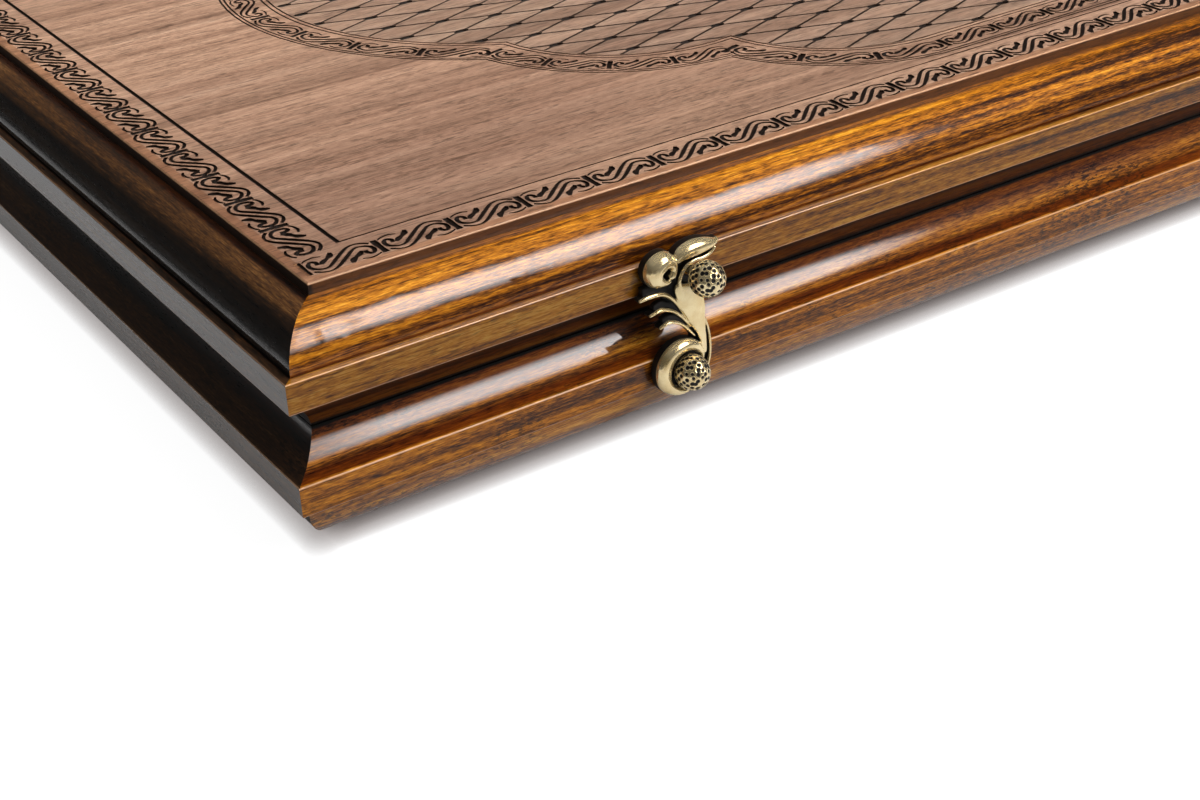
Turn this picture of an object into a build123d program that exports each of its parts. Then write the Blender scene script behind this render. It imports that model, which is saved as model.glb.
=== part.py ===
"""Folding backgammon board, closed and latched, built as its separate pieces.

Two wooden trays meet at a parting plane. Each tray is a mitred frame of moulded rails round an
outer panel and an inlaid playing field, and the two are joined along the back by brass hinges.
Cast hooks on the front swing over ball studs to hold the board shut.
X runs along the front, the latches face -Y, +Z is up, and the origin is the middle of the base.
"""
import os
from math import atan2, degrees, hypot

from build123d import *

os.makedirs("parts", exist_ok=True)

# Overall sizes
board_length = 600.0
board_depth = 300.0
half_height = 25.5

# Rail section, measured in from the band's face and out from the parting plane
rail_width = 20.0
parting_gap = 0.3
cove_depth = 6.9
cove_hollow = 1.5
band_height = 6.3
ledge_width = 2.0
ovolo_width = 8.6
ovolo_height = 9.4
arris_radius = 0.3

# Panels and playing fields
panel_margin = 1.2
panel_stand = 2.25
panel_thickness = 5.0
panel_edge_radius = 0.4
field_thickness = 2.5
wood_fit = 0.1
point_length = 205.0
point_gap = 4.0
points_per_end = 6
inlay_thickness = 0.8

# Corner joinery
biscuit_thickness = 3.0
biscuit_width = 14.0
biscuit_length = 11.0
biscuit_inset = 12.0
dowel_radius = 3.0
dowel_length = 20.0
dowel_spacing = 9.0

# Hinges
hinge_from_end = 110.0
hinge_length = 50.0
hinge_leaf_width = 14.0
hinge_leaf_thickness = 1.2
hinge_standoff = 0.5
knuckle_radius = 2.5
knuckle_count = 5
knuckle_gap = 0.2
knuckle_clearance = 0.4
hinge_pin_radius = 1.25
running_clearance = 0.05
hinge_screw_count = 3
hinge_screw_spacing = 18.0
screw_head_radius = 2.4
screw_shank_radius = 1.3
screw_length = 9.0
screw_slot_width = 0.5
screw_slot_depth = 0.4

# Latches
latch_from_end = 84.4
ball_radius = 3.7
ball_flat = 0.3
stud_radius = 1.0
stud_grip = 9.0
catch_ball_stand = 7.4
catch_shift = 1.7
hook_gap = 0.3
hook_thickness = 2.8
hook_web = 0.9
pivot_ball_stand = 4.2
seat_clearance = 0.1
ring_radius = 6.5
ring_shift = (-0.6, 1.8)
cup_radius = 2.6
catch_clearance = 0.5
catch_way_angle = 32.0
volute_size = (5.8, 3.7)
volute_shift = (-6.7, 2.6)
volute_tilt = -25.0
feather_width = 1.1

# Contents
checker_radius = 17.0
checker_thickness = 8.5
checker_edge_radius = 1.2
checker_groove_radius = 11.0
checker_groove_width = 1.2
checkers_per_side = 15
checkers_per_stack = 3
checker_spacing = 1.0
rest_gap = 0.1
die_size = 12.0
die_edge_radius = 1.5
die_spacing = 6.0
die_count = 2
pip_pitch = 3.0
pip_radius = 1.1
pip_depth = 0.5

# Levels out from the parting plane, and places that follow from the sizes above
parting_face = parting_gap / 2
rail_top = half_height - panel_stand
band_top = rail_top - ovolo_height
band_foot = band_top - band_height
band_middle = (band_top + band_foot) / 2
panel_seat = half_height - panel_thickness
field_seat = panel_seat - field_thickness
joint_level = (parting_face + panel_seat) / 2
panel_inset = ledge_width + ovolo_width + panel_margin
panel_length = board_length - 2 * panel_inset
panel_depth = board_depth - 2 * panel_inset
tray_length = board_length - 2 * rail_width
tray_depth = board_depth - 2 * rail_width
front_face = -board_depth / 2
back_face = board_depth / 2
hinge_y = back_face + hinge_standoff
hinge_leaf_edge = hinge_y - knuckle_radius - knuckle_clearance
hinge_leaf_front = hinge_y - hinge_leaf_width
hinge_leaf_middle = (hinge_leaf_front + hinge_leaf_edge) / 2
hinge_leaf_back = parting_face + hinge_leaf_thickness
halves = (("lower", -1), ("upper", 1))
ends = (("left", -1), ("right", 1))


def height(side, out):
    """Level at a distance out from the parting plane, below it for side -1, above it for 1."""
    return half_height + side * out


def slab_level(side, start, stop):
    """Middle level of a slab between two distances out from the parting plane."""
    return height(side, (start + stop) / 2)


def save(piece, name):
    """Label a finished piece and write it to its own file."""
    piece.part.label = name
    export_step(piece.part, f"parts/{name}.step")


def rail_section(plane):
    """Section of a moulded rail: X runs in from the band's face, Y out from the parting plane."""
    with BuildSketch(plane) as section:
        with BuildLine():
            Line((cove_depth, parting_face), (rail_width, parting_face))
            Line((rail_width, parting_face), (rail_width, rail_top))
            Line((rail_width, rail_top), (ledge_width + ovolo_width, rail_top))
            EllipticalCenterArc(
                (ledge_width + ovolo_width, band_top), ovolo_width, ovolo_height, 90, arc_size=90
            )
            Line((ledge_width, band_top), (0, band_top))
            Line((0, band_top), (0, band_foot))
            SagittaArc((0, band_foot), (cove_depth, parting_face), cove_hollow)
        make_face()
        fillet(section.vertices().group_by(Axis.X)[0], arris_radius)
    return section.sketch


def mitre_plane(end_side, facing):
    """Mitre of a front corner, facing the front rail (1) or the side rail (-1)."""
    return Plane(
        origin=(end_side * board_length / 2, front_face, 0),
        x_dir=(0, 0, 1),
        z_dir=(-end_side * facing, -facing, 0),
    )


def cut_panel_recess(side):
    """Cut the step that the outer panel sits in."""
    with Locations((0, 0, slab_level(side, panel_seat, half_height))):
        Box(
            panel_length + 2 * wood_fit,
            panel_depth + 2 * wood_fit,
            panel_thickness,
            mode=Mode.SUBTRACT,
        )


def biscuit_places(side):
    """Both front corners' biscuit, lying across the mitre with its length along it."""
    biscuit_x = board_length / 2 - biscuit_inset
    biscuit_y = front_face + biscuit_inset
    level = height(side, joint_level)
    places = [(end_side * biscuit_x, end_side * 45) for _, end_side in ends]
    return [Location((place_x, biscuit_y, level), (0, 0, turn)) for place_x, turn in places]


def dowel_places(side):
    """Back corners' dowels, lying along X across the butt joint of back rail and side rail."""
    rail_middle = back_face - rail_width / 2
    level = height(side, joint_level)
    return [
        Location((end_side * tray_length / 2, rail_middle + step * dowel_spacing / 2, level), (0, 90, 0))
        for _, end_side in ends
        for step in (-1, 1)
    ]


def cut_biscuit_slots(side):
    """Cut the closed slots that hold the biscuits."""
    with Locations(*biscuit_places(side)):
        Box(
            biscuit_width + 2 * wood_fit,
            biscuit_length + 2 * wood_fit,
            biscuit_thickness + 2 * wood_fit,
            mode=Mode.SUBTRACT,
        )


def cut_dowel_holes(side):
    """Bore the holes that hold the dowels."""
    with Locations(*dowel_places(side)):
        Cylinder(dowel_radius + wood_fit, dowel_length + 2 * wood_fit, mode=Mode.SUBTRACT)


def point_outlines(side, colour):
    """One half's points of one colour: triangles with their bases on the two short ends."""
    pitch = tray_depth / points_per_end
    base = tray_length / 2 - wood_fit
    half_width = (pitch - point_gap) / 2
    with BuildSketch(Plane.XY.offset(height(side, field_seat))) as outlines:
        for _, end_side in ends:
            for index in range(points_per_end):
                if (index + (end_side > 0) + (side > 0)) % 2 == colour:
                    middle = (index + 0.5) * pitch - tray_depth / 2
                    Polygon(
                        (end_side * base, middle - half_width),
                        (end_side * base, middle + half_width),
                        (end_side * (base - point_length), middle),
                        align=None,
                    )
    return outlines.sketch


def hinge_screw_places(side, hinge_x):
    """Screw heads of one leaf, facing the parting plane."""
    first_x = hinge_x - (hinge_screw_count - 1) / 2 * hinge_screw_spacing
    level = height(side, parting_face)
    return [
        Plane(origin=(first_x + index * hinge_screw_spacing, hinge_leaf_middle, level), z_dir=(0, 0, -side))
        for index in range(hinge_screw_count)
    ]


def stud_plane(side, latch_x):
    """Plane on the middle of a half's band at a latch, facing forward: the catch is set aside."""
    shift = catch_shift if side > 0 else 0
    return Plane(
        origin=(latch_x + shift, front_face, height(side, band_middle)),
        x_dir=(1, 0, 0),
        z_dir=(0, -1, 0),
    )


hinge_places = [end_side * (board_length / 2 - hinge_from_end) for _, end_side in ends]
latch_places = [end_side * (board_length / 2 - latch_from_end) for _, end_side in ends]

# Countersunk hinge screw, head up at the origin
with BuildPart() as hinge_screw:
    with BuildSketch(Plane.XZ):
        Polygon(
            (0, 0),
            (screw_head_radius, 0),
            (screw_shank_radius, screw_shank_radius - screw_head_radius),
            (screw_shank_radius, screw_shank_radius - screw_length),
            (0, -screw_length),
            align=None,
        )
    revolve(axis=Axis.Z)
    Box(3 * screw_head_radius, screw_slot_width, 2 * screw_slot_depth, mode=Mode.SUBTRACT)

# The two halves: frame, panel, field, inlays and joinery, mirrored about the parting plane
for half, side in halves:
    with BuildPart() as front_rail:
        section_plane = Plane(
            origin=(-side * board_length / 2, front_face, half_height), x_dir=(0, 1, 0), z_dir=(side, 0, 0)
        )
        extrude(rail_section(section_plane), amount=board_length)
        for _, end_side in ends:
            split(bisect_by=mitre_plane(end_side, 1), keep=Keep.TOP)
        cut_panel_recess(side)
        cut_biscuit_slots(side)
        for latch_x in latch_places:
            with Locations(stud_plane(side, latch_x)):
                Hole(stud_radius + running_clearance, stud_grip)
    save(front_rail, f"{half}_front_rail")

    for end, end_side in ends:
        with BuildPart() as side_rail:
            section_plane = Plane(
                origin=(end_side * board_length / 2, -end_side * side * board_depth / 2, half_height),
                x_dir=(-end_side, 0, 0),
                z_dir=(0, end_side * side, 0),
            )
            extrude(rail_section(section_plane), amount=board_depth)
            split(bisect_by=mitre_plane(end_side, -1), keep=Keep.TOP)
            cut_panel_recess(side)
            cut_biscuit_slots(side)
            cut_dowel_holes(side)
        save(side_rail, f"{half}_{end}_rail")

    with BuildPart() as back_rail:
        with Locations((0, back_face - rail_width / 2, slab_level(side, parting_face, rail_top))):
            Box(tray_length, rail_width, rail_top - parting_face)
        cut_panel_recess(side)
        cut_dowel_holes(side)
        mortise_front = hinge_leaf_front - wood_fit
        for hinge_x in hinge_places:
            mortise_middle = (mortise_front + back_face) / 2
            with Locations((hinge_x, mortise_middle, slab_level(side, parting_face, hinge_leaf_back))):
                Box(
                    hinge_length + 2 * wood_fit,
                    back_face - mortise_front,
                    hinge_leaf_thickness,
                    mode=Mode.SUBTRACT,
                )
            with Locations(Location((hinge_x, hinge_y, half_height), (0, 90, 0))):
                Cylinder(
                    knuckle_radius + knuckle_clearance,
                    hinge_length + 2 * knuckle_clearance,
                    mode=Mode.SUBTRACT,
                )
            with Locations(*hinge_screw_places(side, hinge_x)):
                Hole(screw_shank_radius + running_clearance, screw_length + wood_fit)
    save(back_rail, f"{half}_back_rail")

    with BuildPart() as panel:
        with Locations((0, 0, slab_level(side, panel_seat, half_height))):
            Box(panel_length, panel_depth, panel_thickness)
        outer_face = panel.faces().sort_by(Axis.Z)[0 if side < 0 else -1]
        fillet(outer_face.edges(), panel_edge_radius)
    save(panel, f"{half}_panel")

    with BuildPart() as field:
        with Locations((0, 0, slab_level(side, field_seat, panel_seat))):
            Box(tray_length - 2 * wood_fit, tray_depth - 2 * wood_fit, field_thickness)
        for colour in (0, 1):
            extrude(point_outlines(side, colour), amount=side * inlay_thickness, mode=Mode.SUBTRACT)
    save(field, f"{half}_field")

    for colour, tone in enumerate(("light", "dark")):
        with BuildPart() as points:
            extrude(point_outlines(side, colour), amount=side * inlay_thickness)
        save(points, f"{half}_{tone}_points")

    with BuildPart() as biscuits:
        with Locations(*biscuit_places(side)):
            Box(biscuit_width, biscuit_length, biscuit_thickness)
    save(biscuits, f"{half}_mitre_biscuits")

    with BuildPart() as dowels:
        with Locations(*dowel_places(side)):
            Cylinder(dowel_radius, dowel_length)
    save(dowels, f"{half}_back_dowels")

    with BuildPart() as hinge_screws:
        for hinge_x in hinge_places:
            with Locations(*hinge_screw_places(side, hinge_x)):
                add(hinge_screw.part)
    save(hinge_screws, f"{half}_hinge_screws")

# Butt hinges: the lower leaf carries the end knuckles and the pin, the upper leaf those between
knuckle_pitch = hinge_length / knuckle_count
for (end, _), hinge_x in zip(ends, hinge_places):
    for (half, side), first_knuckle in zip(halves, (0, 1)):
        leaf_level = slab_level(side, parting_face, hinge_leaf_back)
        with BuildPart() as leaf:
            with Locations((hinge_x, hinge_leaf_middle, leaf_level)):
                Box(hinge_length, hinge_leaf_edge - hinge_leaf_front, hinge_leaf_thickness)
            for index in range(first_knuckle, knuckle_count, 2):
                knuckle_x = hinge_x + (index + 0.5) * knuckle_pitch - hinge_length / 2
                with Locations((knuckle_x, (hinge_leaf_edge + hinge_y) / 2, leaf_level)):
                    Box(knuckle_pitch - knuckle_gap, hinge_y - hinge_leaf_edge, hinge_leaf_thickness)
                with Locations(Location((knuckle_x, hinge_y, half_height), (0, 90, 0))):
                    Cylinder(knuckle_radius, knuckle_pitch - knuckle_gap)
            with Locations(Location((hinge_x, hinge_y, half_height), (0, 90, 0))):
                Cylinder(hinge_pin_radius + running_clearance, hinge_length, mode=Mode.SUBTRACT)
            with Locations(*hinge_screw_places(side, hinge_x)):
                CounterSinkHole(
                    screw_shank_radius + running_clearance,
                    screw_head_radius + running_clearance,
                    hinge_leaf_thickness,
                    90,
                )
        save(leaf, f"{end}_hinge_{half}_leaf")

    with BuildPart() as hinge_pin:
        with Locations(Location((hinge_x, hinge_y, half_height), (0, 90, 0))):
            Cylinder(hinge_pin_radius, hinge_length)
    save(hinge_pin, f"{end}_hinge_pin")


def ball_stud(face_plane, ball_stand, flat_stand):
    """Round-headed stud in a band: its ball stands off the band and is flat at the back."""
    with BuildPart(face_plane) as stud:
        with Locations((0, 0, ball_stand)):
            Sphere(ball_radius)
        split(bisect_by=face_plane.offset(flat_stand), keep=Keep.TOP)
        with Locations((0, 0, (ball_stand - stud_grip) / 2)):
            Cylinder(stud_radius, ball_stand + stud_grip)
    return stud


def hook_outline(plane, catch):
    """Front outline of the cast hook, pivot at the origin: ring, stem, feathers, volute and leaf."""
    rise = catch.Y
    way = hypot(catch.X, catch.Y)
    way_width = stud_radius + catch_clearance
    way_angle = degrees(atan2(catch.Y, catch.X))
    feathers = (
        ((-10.7, 0.86 * rise), (0.0, 0.62 * rise)),
        ((-8.4, 0.69 * rise), (1.2, 0.42 * rise)),
        ((-6.2, 0.54 * rise), (2.6, 0.27 * rise)),
    )
    with BuildSketch(plane) as outline:
        with Locations(ring_shift):
            Circle(ring_radius)
        with BuildLine():
            Spline((5.9, 0.14 * rise), (5.0, 0.47 * rise), (4.3, 0.67 * rise), (0.6, 0.83 * rise))
            Spline(
                (0.6, 0.83 * rise),
                catch + (-cup_radius - 0.5, 0),
                catch + (0.5, cup_radius),
                catch + (3.5, 2.3),
                catch + (6.0, 4.6),
                catch + (3.2, 6.7),
                catch + (-0.6, 7.1),
                catch + (-4.0, 5.0),
                (-3.0, 0.86 * rise),
                (0.4, 0.55 * rise),
                (3.0, 0.22 * rise),
            )
            Line((3.0, 0.22 * rise), (5.9, 0.14 * rise))
        make_face()
        with Locations(Location((catch.X + volute_shift[0], catch.Y + volute_shift[1]), volute_tilt)):
            Ellipse(*volute_size)
        for tip, root in feathers:
            with BuildLine():
                SagittaArc(tip, root, feather_width)
                SagittaArc(root, tip, -2.2 * feather_width)
            make_face()
        with Locations(catch):
            Circle(cup_radius, mode=Mode.SUBTRACT)
        with BuildLine():
            outer = CenterArc((0, 0), way + way_width, way_angle - catch_way_angle, catch_way_angle)
            inner = CenterArc((0, 0), way - way_width, way_angle - catch_way_angle, catch_way_angle)
            Line(outer @ 0, inner @ 0)
            Line(outer @ 1, inner @ 1)
        make_face(mode=Mode.SUBTRACT)
    return outline.sketch


# Latches: a hook turns on the lower band's stud and closes under the ball on the upper band
for (end, _), latch_x in zip(ends, latch_places):
    pivot_plane = stud_plane(-1, latch_x)
    catch_plane = stud_plane(1, latch_x)
    pivot_stud = ball_stud(pivot_plane, pivot_ball_stand, hook_gap + hook_web + seat_clearance)
    save(pivot_stud, f"{end}_latch_pivot_stud")
    catch_stud = ball_stud(catch_plane, catch_ball_stand, catch_ball_stand - ball_radius + ball_flat)
    save(catch_stud, f"{end}_latch_catch_stud")

    with BuildPart() as hook:
        catch = pivot_plane.to_local_coords(catch_plane.origin)
        extrude(hook_outline(pivot_plane.offset(hook_gap), catch), amount=hook_thickness)
        with Locations(pivot_plane.offset(hook_gap + hook_thickness)):
            CounterBoreHole(
                stud_radius + running_clearance,
                ball_radius + seat_clearance,
                hook_thickness - hook_web,
            )
    save(hook, f"{end}_latch_hook")

# Checker, standing on the origin, with a turned groove in both faces
with BuildPart() as checker:
    with Locations((0, 0, checker_thickness / 2)):
        Cylinder(checker_radius, checker_thickness)
    fillet(checker.edges(), checker_edge_radius)
    with Locations((0, 0, 0), (0, 0, checker_thickness)):
        Torus(checker_groove_radius, checker_groove_width / 2, mode=Mode.SUBTRACT)

# Stored checkers: stacks in a row along the back rail of the lower tray, one colour to each side
stack_pitch = 2 * checker_radius + checker_spacing
stack_y = tray_depth / 2 - checker_radius - checker_spacing
stack_count = -(-checkers_per_side // checkers_per_stack)
floor_level = height(-1, field_seat) + rest_gap
for tone, stack_side in (("light", -1), ("dark", 1)):
    with BuildPart() as checkers:
        for index in range(checkers_per_side):
            stack, layer = divmod(index, checkers_per_stack)
            checker_x = stack_side * (stack + 0.5) * stack_pitch
            with Locations((checker_x, stack_y, floor_level + layer * (checker_thickness + rest_gap))):
                add(checker.part)
    save(checkers, f"{tone}_checkers")


def pip_places(value):
    """Where a die face's pips lie on its 3 by 3 grid."""
    corners = [(-1, -1), (1, 1), (-1, 1), (1, -1)]
    sides = [(-1, 0), (1, 0)]
    places = {1: [], 2: corners[:2], 3: corners[:2], 4: corners, 5: corners, 6: corners + sides}[value]
    if value % 2:
        places = places + [(0, 0)]
    return [(pip_pitch * across, pip_pitch * along) for across, along in places]


# Dice beside the light checkers: opposite faces add up to seven
pip_ball = (pip_radius**2 + pip_depth**2) / (2 * pip_depth)
pip_faces = (
    (1, (0, 0, 1)),
    (6, (0, 0, -1)),
    (2, (1, 0, 0)),
    (5, (-1, 0, 0)),
    (3, (0, 1, 0)),
    (4, (0, -1, 0)),
)
with BuildPart() as die:
    Box(die_size, die_size, die_size)
    fillet(die.edges(), die_edge_radius)
    for value, facing in pip_faces:
        face_plane = Plane(origin=(0, 0, 0), z_dir=facing).offset(die_size / 2 + pip_ball - pip_depth)
        with Locations(face_plane):
            with Locations(*pip_places(value)):
                Sphere(pip_ball, mode=Mode.SUBTRACT)

with BuildPart() as dice:
    for index in range(die_count):
        die_x = -(stack_count * stack_pitch + (index + 1) * (die_spacing + die_size))
        with Locations((die_x, stack_y, floor_level + die_size / 2)):
            add(die.part)
save(dice, "dice")
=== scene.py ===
"""Looks of the backgammon board: stained and lacquered rails, engraved panels, cast brass latches.

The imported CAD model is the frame, so every piece made here sits where its CAD node sits.
Sizes are in millimetres in the code and become metres where a mesh is made.
"""

import math

import bmesh
import bpy
import numpy as np
from mathutils import Matrix, Vector
from mathutils.bvhtree import BVHTree
from mathutils.geometry import delaunay_2d_cdt


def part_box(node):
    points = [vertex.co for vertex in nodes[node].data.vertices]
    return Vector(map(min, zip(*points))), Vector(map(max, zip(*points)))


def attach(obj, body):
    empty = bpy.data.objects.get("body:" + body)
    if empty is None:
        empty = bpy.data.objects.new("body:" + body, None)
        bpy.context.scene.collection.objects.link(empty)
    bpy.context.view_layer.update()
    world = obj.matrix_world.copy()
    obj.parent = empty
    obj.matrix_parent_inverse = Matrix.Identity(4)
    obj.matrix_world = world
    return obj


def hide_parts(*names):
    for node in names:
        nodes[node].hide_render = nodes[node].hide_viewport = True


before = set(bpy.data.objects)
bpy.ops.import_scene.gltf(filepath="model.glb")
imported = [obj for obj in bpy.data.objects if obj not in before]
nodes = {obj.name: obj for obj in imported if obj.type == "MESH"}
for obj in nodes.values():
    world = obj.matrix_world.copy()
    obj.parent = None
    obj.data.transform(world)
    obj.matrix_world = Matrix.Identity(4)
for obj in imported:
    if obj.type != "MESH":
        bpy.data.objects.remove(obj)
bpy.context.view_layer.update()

# Camera
# It stands to the left of the closed board's front left corner and looks down along the front,
# as the photograph does. Its place was solved from the board's own straight edges.
millimetre = 0.001


def add_object(name, data):
    """A new object in the scene."""
    made = bpy.data.objects.new(name, data)
    bpy.context.scene.collection.objects.link(made)
    return made


camera_place = Vector((-418.03, -436.55, 208.85)) * millimetre
camera_right = Vector((0.8289, -0.5578, -0.0416))
camera_ahead = Vector((0.4667, 0.7306, -0.4983))
camera_back = -camera_ahead.normalized()
camera_right = (camera_right - camera_back * camera_right.dot(camera_back)).normalized()
camera_up = camera_back.cross(camera_right)
camera_data = bpy.data.cameras.new("camera")
camera_data.lens = 60.0
camera_data.sensor_width = 36.0
camera_data.clip_start = 0.01
camera = add_object("camera", camera_data)
camera.matrix_world = Matrix.Translation(camera_place) @ Matrix(
    (camera_right, camera_up, camera_back)
).transposed().to_4x4()
bpy.context.scene.camera = camera
bpy.context.scene.view_settings.view_transform = "Standard"


# Moulded rails
# Beech rails, run through a moulder, mitred at the front, stained amber brown and lacquered to a
# deep gloss. The grain runs along each rail, and short dark flecks show on the flat bands.


class Value:
    """A shader socket. Arithmetic on it adds Math nodes to its material."""

    def __init__(self, finish, socket):
        self.finish = finish
        self.socket = socket

    def math(self, operation, *others, clamp=False):
        inputs = dict(enumerate((self, *others)))
        return self.finish.node("ShaderNodeMath", {"operation": operation, "use_clamp": clamp}, inputs)

    def __add__(self, other):
        return self.math("ADD", other)

    def __sub__(self, other):
        return self.math("SUBTRACT", other)

    def __mul__(self, other):
        return self.math("MULTIPLY", other)

    def __truediv__(self, other):
        return self.math("DIVIDE", other)

    def __rsub__(self, other):
        return self.finish.node("ShaderNodeMath", {"operation": "SUBTRACT"}, {0: other, 1: self})

    __radd__ = __add__
    __rmul__ = __mul__

    def __abs__(self):
        return self.math("ABSOLUTE")

    def above(self, level, softness):
        """0 below a level, 1 above it, with a soft step of the given height."""
        return self.math("SUBTRACT", level - softness / 2).math("DIVIDE", softness, clamp=True)


class Finish:
    """One material, or the world: its node tree, and the Principled shader that the nodes feed."""

    def __init__(self, name, world=None, **constants):
        self.material = world or bpy.data.materials.new(name)
        self.material.use_nodes = True
        self.tree = self.material.node_tree
        self.shader = self.tree.nodes.get("Principled BSDF")
        for socket, value in constants.items():
            self.shader.inputs[socket.replace("_", " ")].default_value = value

    def node(self, kind, settings=None, inputs=None, output=0):
        """Adds a node: its settings first, then the values or links of its sockets."""
        made = self.tree.nodes.new(kind)
        for key, value in (settings or {}).items():
            if key == "stops":
                ramp = made.color_ramp
                while len(ramp.elements) < len(value):
                    ramp.elements.new(1.0)
                for element, (place, colour) in zip(ramp.elements, value):
                    element.position = place
                    element.color = colour
            else:
                setattr(made, key, value)
        for key, value in (inputs or {}).items():
            if isinstance(value, Value):
                self.tree.links.new(value.socket, made.inputs[key])
            else:
                made.inputs[key].default_value = value
        return Value(self, made.outputs[output])

    def feed(self, **sockets):
        """Links values that change over the surface to the shader's sockets."""
        for socket, value in sockets.items():
            self.tree.links.new(value.socket, self.shader.inputs[socket.replace("_", " ")])

    def place(self):
        """The point on the object, in metres in the board's own frame."""
        return self.node("ShaderNodeTexCoord", output="Object")

    def axes(self, place):
        """The three coordinates of a place, in millimetres."""
        return [
            self.node("ShaderNodeSeparateXYZ", inputs={0: place}, output=axis) * 1000.0
            for axis in range(3)
        ]

    def noise(self, place, scale, detail=2.0, roughness=0.5, distortion=0.0):
        inputs = {
            "Vector": place,
            "Scale": scale,
            "Detail": detail,
            "Roughness": roughness,
            "Distortion": distortion,
        }
        return self.node("ShaderNodeTexNoise", inputs=inputs, output="Fac")

    def blend(self, low, high, amount):
        """Colour that goes from low to high as the amount goes from 0 to 1."""
        settings = {"data_type": "RGBA"}
        return self.node("ShaderNodeMix", settings, {0: amount, 6: low, 7: high}, output=2)

    def scaled(self, colour, amount):
        """A colour made darker or lighter by an amount, or by one amount each for red, green and blue."""
        if isinstance(amount, tuple):
            return self.node("ShaderNodeVectorMath", {"operation": "MULTIPLY"}, {0: colour, 1: amount})
        settings = {"operation": "SCALE"}
        return self.node("ShaderNodeVectorMath", settings, {0: colour, "Scale": amount})

    def bump(self, height, depth_mm):
        """Surface relief: a height of 1 stands this many millimetres proud."""
        inputs = {"Height": height, "Distance": depth_mm * millimetre, "Strength": 1.0}
        return self.node("ShaderNodeBump", inputs=inputs)


def rgb(red, green, blue):
    """A colour written as a paint chip's 0 to 255 values."""
    steps = [c / 255 for c in (red, green, blue)]
    return tuple(c / 12.92 if c < 0.04 else ((c + 0.055) / 1.055) ** 2.4 for c in steps) + (1.0,)


def stretched(finish, along, length, seed):
    """Object coordinates drawn out along the grain, and shifted so that no two boards match."""
    scale = [1.0, 1.0, 1.0]
    scale["xyz".index(along)] = 1 / length
    shift = (0.73 * seed, 1.31 * seed, 0.57 * seed)
    inputs = {"Vector": finish.place(), "Location": shift, "Scale": scale}
    return finish.node("ShaderNodeMapping", inputs=inputs)


def wood(name, along, tones, seed=1.0, figure=1.0, flecks=0.5, fibre=0.4, streaks=0.0, **constants):
    """Wood with its grain along an axis: figure, growth lines, fibres and beech flecks."""
    finish = Finish(name, **constants)
    plank = stretched(finish, along, length=60.0, seed=seed)
    fibres = stretched(finish, along, length=10.0, seed=seed)
    short_grain = stretched(finish, along, length=3.0, seed=seed)
    broad = finish.noise(plank, scale=150.0, distortion=0.5)
    lines = finish.noise(plank, scale=700.0, detail=3.0, roughness=0.6, distortion=0.2)
    narrow = finish.noise(fibres, scale=3000.0)
    fine = finish.noise(fibres, scale=4200.0, roughness=0.7)
    tone = 0.5 + figure * ((broad - 0.5) * 1.5 + (lines - 0.5) * 1.4)
    tone = tone + fibre * ((narrow - 0.5) + (fine - 0.5) * 1.3)
    darkest, lightest = 0.12, 0.88
    spread = (lightest - darkest) / (len(tones) - 1)
    stops = [(darkest + spread * step, colour) for step, colour in enumerate(tones)]
    colour = finish.node("ShaderNodeValToRGB", {"stops": stops}, {"Fac": tone})
    clusters = finish.noise(short_grain, scale=120.0).above(0.54, 0.14)
    dashes = finish.noise(short_grain, scale=1700.0, roughness=0.6).above(0.55, 0.06)
    pores = finish.noise(fibres, scale=2300.0, detail=1.0).above(0.62, 0.06) * 0.45
    shade = (1 - dashes * clusters * flecks) * (1 - pores)
    if streaks:
        stains = finish.noise(plank, scale=110.0, detail=3.0, roughness=0.55, distortion=1.2)
        shade = shade * (1 - stains.above(0.54, 0.16) * streaks)
    finish.colour = finish.scaled(colour, shade)
    rough = 0.42 + (fine - 0.5) * 0.3
    finish.feed(Base_Color=finish.colour, Roughness=rough, Normal=finish.bump(fine, 0.003))
    return finish


def near(value, level, reach):
    """1 within a distance of a level, falling to 0 as far again."""
    return 1 - abs(value - level).above(reach * 1.5, reach)


def below(value, level, softness):
    """1 below a level, 0 above it, with a soft step of the given height."""
    return 1 - value.above(level, softness)


def node_box(node):
    """Low and high corner of a CAD node, in millimetres."""
    return [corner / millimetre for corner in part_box(node)]


# The moulding's sizes: inward from the board's outer faces, outward from where the halves part
front_low, front_high = node_box("upper_front_rail")
side_face = front_high.x
front_face = front_low.y
parting = node_box("upper_panel")[1].z / 2
cove_depth = 6.9
band_foot = 7.55
band_top = 13.85
ledge_width = 2.0
ovolo_end = 12.2
crisp = 0.1

# Painted shade on the front's bands and ledges, and how strong the painted highlights along the arrises are
# there and on the sides
band_shade = {"upper": (0.47, 0.48, 0.72), "lower": (0.88, 0.88, 0.96)}
arris_glint_strength = {"upper": (0.5, 0.36), "lower": (0.62, 0.62)}


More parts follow.
